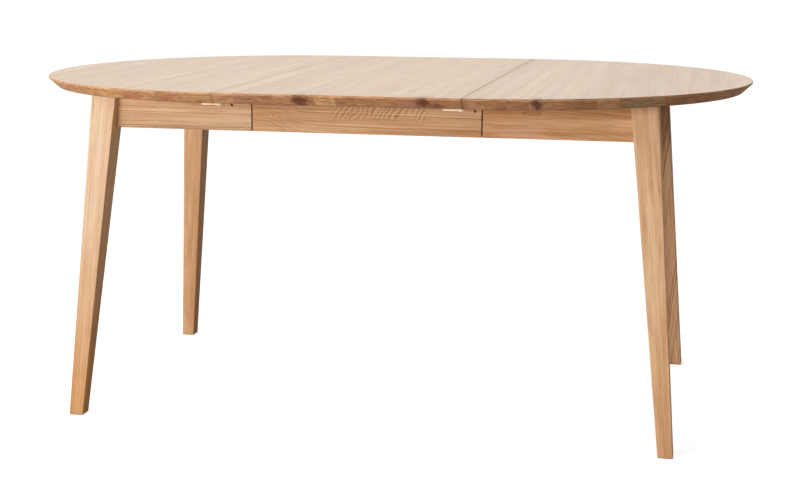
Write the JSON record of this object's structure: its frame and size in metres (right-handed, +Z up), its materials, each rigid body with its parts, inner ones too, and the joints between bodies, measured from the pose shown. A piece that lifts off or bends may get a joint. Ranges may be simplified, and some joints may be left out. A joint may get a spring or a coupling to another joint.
{
  "type": "extension dining table",
  "caption": "Oval extension dining table: two half-round ends on splayed tapered legs, telescoping runners and a lift-out centre leaf with its own aprons and leaf catches.",
  "frame": {"origin": "on the floor under the middle of the leaf", "axes": "+Z up, +X along the table's length towards the right half, +Y to the rear"},
  "size_m": [1.5998, 1.1, 0.75],
  "materials": {
    "oak_top": "oiled oak, satin",
    "oak_apron": "oiled oak, satin",
    "oak_leg": "oiled oak, satin",
    "beech_inner": "planed beech, unfinished",
    "catch_brass": "brushed",
    "dark_steel": "browned",
    "zinc_steel": "zinc plated"
  },
  "bodies": {
    "left_half": {"left_catch_pivots": "catch_brass", "left_cleat_screws": "zinc_steel", "left_corner_block_screws": "zinc_steel", "left_end_apron": "oak_apron", "left_front_apron": "oak_apron", "left_front_corner_block": "beech_inner", "left_front_leg": "oak_leg", "left_front_runner": "beech_inner", "left_leg_bolts": "zinc_steel", "left_leg_nuts": "zinc_steel", "left_leg_washers": "zinc_steel", "left_rear_apron": "oak_apron", "left_rear_corner_block": "beech_inner", "left_rear_leg": "oak_leg", "left_rear_runner": "beech_inner", "left_runner_screws": "zinc_steel", "left_runner_stops": "zinc_steel", "left_top": "oak_top", "left_top_cleats": "beech_inner"},
    "right_half": {"right_catch_pins": "dark_steel", "right_cleat_screws": "zinc_steel", "right_corner_block_screws": "zinc_steel", "right_end_apron": "oak_apron", "right_front_apron": "oak_apron", "right_front_corner_block": "beech_inner", "right_front_leg": "oak_leg", "right_front_runner": "beech_inner", "right_leg_bolts": "zinc_steel", "right_leg_nuts": "zinc_steel", "right_leg_washers": "zinc_steel", "right_rear_apron": "oak_apron", "right_rear_corner_block": "beech_inner", "right_rear_leg": "oak_leg", "right_rear_runner": "beech_inner", "right_runner_screws": "zinc_steel", "right_top": "oak_top", "right_top_cleats": "beech_inner"},
    "middle_runners": {"cross_rail_screws": "zinc_steel", "middle_cross_rail": "beech_inner", "middle_front_runner": "beech_inner", "middle_rear_runner": "beech_inner", "middle_runner_stops": "zinc_steel"},
    "leaf": {"leaf_catch_pins": "dark_steel", "leaf_catch_pivots": "catch_brass", "leaf_cleat_screws": "zinc_steel", "leaf_cleats": "beech_inner", "leaf_front_apron": "oak_apron", "leaf_rear_apron": "oak_apron", "leaf_top": "oak_top"},
    "left_front_catch": {"left_front_catch": "catch_brass"},
    "left_rear_catch": {"left_rear_catch": "catch_brass"},
    "right_front_catch": {"right_front_catch": "catch_brass"},
    "right_rear_catch": {"right_rear_catch": "catch_brass"}
  },
  "joints": [
    {"name": "right_half_slide", "type": "slide", "parent": "left_half", "child": "right_half", "axis": [1, 0, 0], "range_m": [0, 0.06]},
    {"name": "middle_runners_slide", "type": "slide", "parent": "left_half", "child": "middle_runners", "axis": [1, 0, 0], "range_m": [0, 0.03]},
    {"name": "leaf_lift", "type": "slide", "parent": "left_half", "child": "leaf", "axis": [0, 0, 1], "range_m": [0, 0.25]},
    {"name": "left_front_catch_turn", "type": "hinge", "parent": "left_half", "child": "left_front_catch", "pos_m": [-0.266, -0.46, 0.719], "axis": [0, 0, -1], "range_deg": [0, 180]},
    {"name": "left_rear_catch_turn", "type": "hinge", "parent": "left_half", "child": "left_rear_catch", "pos_m": [-0.266, 0.46, 0.719], "axis": [0, 0, 1], "range_deg": [0, 180]},
    {"name": "right_front_catch_turn", "type": "hinge", "parent": "leaf", "child": "right_front_catch", "pos_m": [0.234, -0.46, 0.719], "axis": [0, 0, -1], "range_deg": [0, 180]},
    {"name": "right_rear_catch_turn", "type": "hinge", "parent": "leaf", "child": "right_rear_catch", "pos_m": [0.234, 0.46, 0.719], "axis": [0, 0, 1], "range_deg": [0, 180]}
  ],
  "couplings": [
    {"joint": "middle_runners_slide", "follows": "right_half_slide", "ratio": 0.5}
  ]
}
